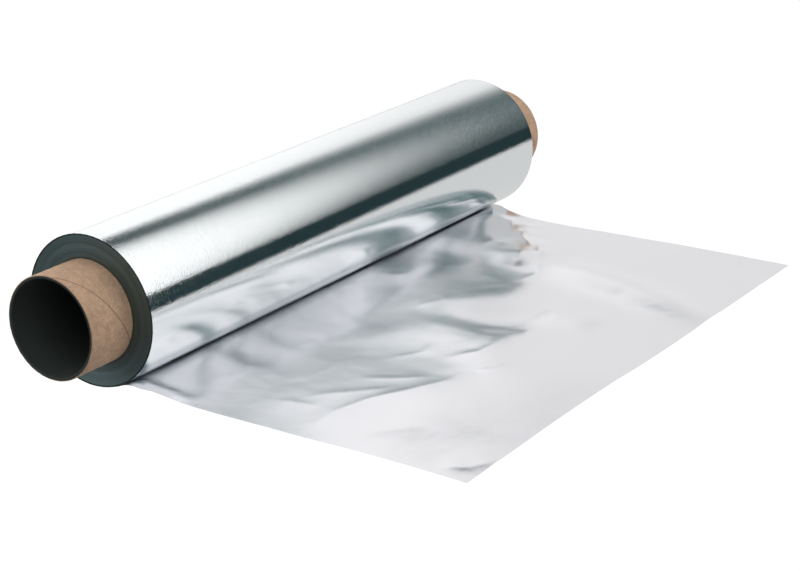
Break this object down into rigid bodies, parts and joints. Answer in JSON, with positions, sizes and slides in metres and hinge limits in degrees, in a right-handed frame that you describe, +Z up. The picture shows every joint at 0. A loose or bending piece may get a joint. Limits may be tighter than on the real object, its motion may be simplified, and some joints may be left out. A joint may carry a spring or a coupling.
{
  "type": "aluminium foil roll",
  "caption": "Roll of aluminium foil wound on an open paperboard core that stands out at both ends, with its first length drawn off and lying flat.",
  "frame": {"origin": "on the surface that the roll lies on, straight below the middle of the roll's axis", "axes": "+X along the roll's axis, -Y the way the foil is drawn off, +Z up"},
  "size_m": [0.348, 0.2085, 0.0649],
  "materials": {
    "kraft_paperboard": "matt brown kraft, spiral wound",
    "foil": "bright rolled foil, satin on its inner side"
  },
  "bodies": {
    "root": {"core_tube": "kraft_paperboard", "foil_web": "foil"}
  },
  "joints": []
}
